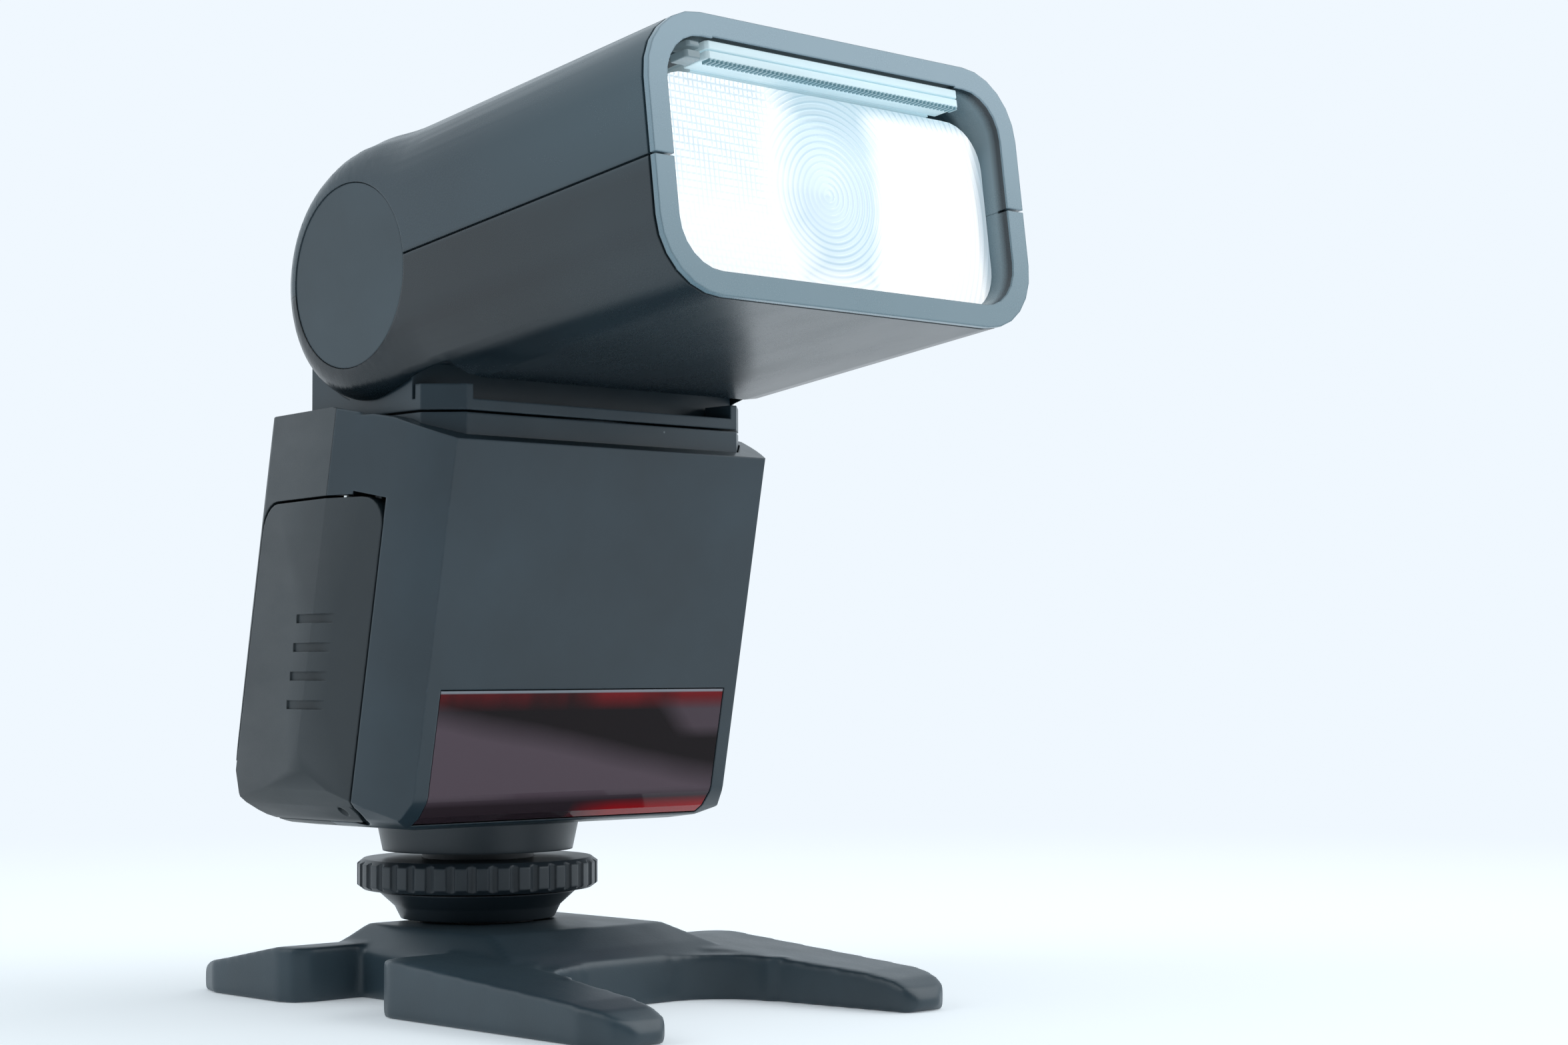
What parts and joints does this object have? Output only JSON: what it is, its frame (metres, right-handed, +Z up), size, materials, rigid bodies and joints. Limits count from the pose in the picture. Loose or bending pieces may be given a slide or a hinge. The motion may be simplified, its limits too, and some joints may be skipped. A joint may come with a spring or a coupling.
{
  "type": "speedlight flash",
  "caption": "Compact shoe-mount speedlight flash with a pan and tilt head, zooming lamp and side battery door, on a four-legged cold-shoe mini stand.",
  "frame": {"origin": "mouth of the stand's quarter-inch tripod thread, in the floor plane, under the lock ring's axis", "axes": "+Z up, -Y towards the subject (the way the flash faces), +X to the viewer's right when facing the front"},
  "size_m": [0.062, 0.0992, 0.1158],
  "materials": {
    "housing_plastic": "satin moulded",
    "stand_plastic": "satin moulded",
    "foot_plastic": "satin moulded",
    "key_plastic": "matt",
    "test_plastic": "tinted translucent",
    "window_red": "gloss deep red translucent",
    "lamp_lens": "clear moulded",
    "clear_plastic": "clear moulded prisms",
    "card_white": "white satin",
    "tube_glass": "clear quartz",
    "reflector_metal": "polished",
    "carriage_plastic": "matt",
    "steel": "turned",
    "spring_bronze": "sheet",
    "insert_brass": "turned",
    "contact_gold": "plated",
    "cell_jacket": "film over steel",
    "board_green": "solder mask",
    "capacitor_sleeve": "shrink sleeve over aluminium",
    "transformer_tape": "taped winding",
    "lcd_clear": "clear",
    "lcd_glass": "unlit display"
  },
  "bodies": {
    "stand": {"stand_base": "stand_plastic", "thread_insert": "insert_brass"},
    "flash": {"shoe_foot": "foot_plastic", "foot_collar": "foot_plastic", "front_shell": "housing_plastic", "rear_shell": "housing_plastic", "sensor_window": "window_red", "assist_lamp": "lamp_lens", "sensor_board": "board_green", "battery_cradle": "key_plastic", "cell_lower": "cell_jacket", "cell_upper": "cell_jacket", "cell_spring_lower": "steel", "cell_spring_upper": "steel", "main_board": "board_green", "capacitor": "capacitor_sleeve", "transformer": "transformer_tape", "lcd_window": "lcd_clear", "lcd_module": "lcd_glass", "key_board": "board_green", "turret": "housing_plastic"},
    "clamp": {"lock_plate": "foot_plastic"},
    "ring": {"lock_ring": "foot_plastic"},
    "pin_1": {"contact_1": "contact_gold"},
    "pin_2": {"contact_2": "contact_gold"},
    "pin_3": {"contact_3": "contact_gold"},
    "pin_4": {"contact_4": "contact_gold"},
    "pin_5": {"contact_5": "contact_gold"},
    "door_carrier": {"door_hinge_pin": "steel"},
    "door": {"battery_door": "housing_plastic", "door_contact": "spring_bronze"},
    "key_1": {"button_1": "key_plastic"},
    "key_2": {"button_2": "key_plastic"},
    "key_3": {"button_3": "key_plastic"},
    "key_4": {"button_4": "key_plastic"},
    "key_test": {"test_button": "test_plastic"},
    "dial": {"dial_ring": "key_plastic"},
    "key_set": {"set_button": "key_plastic"},
    "switch": {"power_switch": "key_plastic"},
    "neck": {"yoke": "housing_plastic", "pan_nut": "steel", "pan_spring": "spring_bronze"},
    "head": {"head_upper": "housing_plastic", "head_lower": "housing_plastic", "fresnel_lens": "clear_plastic", "tilt_cap_left": "housing_plastic", "tilt_cap_right": "housing_plastic", "tilt_pin_left": "steel", "tilt_pin_right": "steel", "guide_rod": "steel", "zoom_motor": "steel"},
    "panel": {"wide_panel": "clear_plastic"},
    "card": {"bounce_card": "card_white"},
    "lamp": {"reflector": "reflector_metal", "flash_tube": "tube_glass", "zoom_carriage": "carriage_plastic"},
    "screw": {"lead_screw": "steel"}
  },
  "joints": [
    {"name": "foot_slide", "type": "slide", "parent": "stand", "child": "flash", "axis": [0, 1, 0], "range_m": [0, 0.026]},
    {"name": "lock_travel", "type": "slide", "parent": "flash", "child": "clamp", "axis": [0, 0, 1], "range_m": [0, 0.00075]},
    {"name": "lock_turn", "type": "hinge", "parent": "clamp", "child": "ring", "pos_m": [0, 0, 0.0154], "axis": [0, 0, 1], "range_deg": [0, 271]},
    {"name": "contact_1_press", "type": "slide", "parent": "flash", "child": "pin_1", "axis": [0, 0, 1], "range_m": [0, 0.0005], "stiffness_N_per_m": 150, "springref_m": -0.0005},
    {"name": "contact_2_press", "type": "slide", "parent": "flash", "child": "pin_2", "axis": [0, 0, 1], "range_m": [0, 0.0005], "stiffness_N_per_m": 150, "springref_m": -0.0005},
    {"name": "contact_3_press", "type": "slide", "parent": "flash", "child": "pin_3", "axis": [0, 0, 1], "range_m": [0, 0.0005], "stiffness_N_per_m": 150, "springref_m": -0.0005},
    {"name": "contact_4_press", "type": "slide", "parent": "flash", "child": "pin_4", "axis": [0, 0, 1], "range_m": [0, 0.0005], "stiffness_N_per_m": 150, "springref_m": -0.0005},
    {"name": "contact_5_press", "type": "slide", "parent": "flash", "child": "pin_5", "axis": [0, 0, 1], "range_m": [0, 0.0005], "stiffness_N_per_m": 150, "springref_m": -0.0005},
    {"name": "door_slide", "type": "slide", "parent": "flash", "child": "door_carrier", "axis": [0, 0.1942, -0.981], "range_m": [0, 0.003]},
    {"name": "door_swing", "type": "hinge", "parent": "door_carrier", "child": "door", "pos_m": [-0.02725, -0.01377, 0.05189], "axis": [0, -0.1942, 0.981], "range_deg": [0, 90]},
    {"name": "button_1_press", "type": "slide", "parent": "flash", "child": "key_1", "axis": [0, -0.9892, -0.1462], "range_m": [0, 0.00045], "stiffness_N_per_m": 300, "springref_m": -0.0004},
    {"name": "button_2_press", "type": "slide", "parent": "flash", "child": "key_2", "axis": [0, -0.9892, -0.1462], "range_m": [0, 0.00045], "stiffness_N_per_m": 300, "springref_m": -0.0004},
    {"name": "button_3_press", "type": "slide", "parent": "flash", "child": "key_3", "axis": [0, -0.9892, -0.1462], "range_m": [0, 0.00045], "stiffness_N_per_m": 300, "springref_m": -0.0004},
    {"name": "button_4_press", "type": "slide", "parent": "flash", "child": "key_4", "axis": [0, -0.9892, -0.1462], "range_m": [0, 0.00045], "stiffness_N_per_m": 300, "springref_m": -0.0004},
    {"name": "test_press", "type": "slide", "parent": "flash", "child": "key_test", "axis": [0, -0.9892, -0.1462], "range_m": [0, 0.00045], "stiffness_N_per_m": 300, "springref_m": -0.0004},
    {"name": "dial_turn", "type": "hinge", "parent": "flash", "child": "dial", "pos_m": [0.004, 0.014, 0.0378], "axis": [0, 0.9892, 0.1462], "continuous": true},
    {"name": "set_press", "type": "slide", "parent": "flash", "child": "key_set", "axis": [0, -0.9892, -0.1462], "range_m": [0, 0.00045], "stiffness_N_per_m": 300, "springref_m": -0.0004},
    {"name": "power_slide", "type": "slide", "parent": "flash", "child": "switch", "axis": [1, 0, 0], "range_m": [0, 0.0034]},
    {"name": "head_pan", "type": "hinge", "parent": "flash", "child": "neck", "pos_m": [0, -0.0129, 0.074], "axis": [0, 0, 1], "range_deg": [-180, 90]},
    {"name": "head_tilt", "type": "hinge", "parent": "neck", "child": "head", "pos_m": [0, -0.0129, 0.0912], "axis": [-1, 0, 0], "range_deg": [-7.25, 82.75]},
    {"name": "panel_slide", "type": "slide", "parent": "head", "child": "panel", "axis": [0, -0.992, 0.1262], "range_m": [0, 0.034]},
    {"name": "card_slide", "type": "slide", "parent": "head", "child": "card", "axis": [0, -0.992, 0.1262], "range_m": [0, 0.034]},
    {"name": "zoom_slide", "type": "slide", "parent": "head", "child": "lamp", "axis": [0, -0.992, 0.1262], "range_m": [-0.007, 0.004]},
    {"name": "screw_spin", "type": "hinge", "parent": "head", "child": "screw", "pos_m": [0.012, -0.04407, 0.08388], "axis": [0, -0.992, 0.1262], "range_deg": [-632, 362]}
  ],
  "couplings": [
    {"joint": "lock_turn", "follows": "lock_travel", "rad_per_m": 6283.2},
    {"joint": "screw_spin", "follows": "zoom_slide", "rad_per_m": 1570.8}
  ]
}
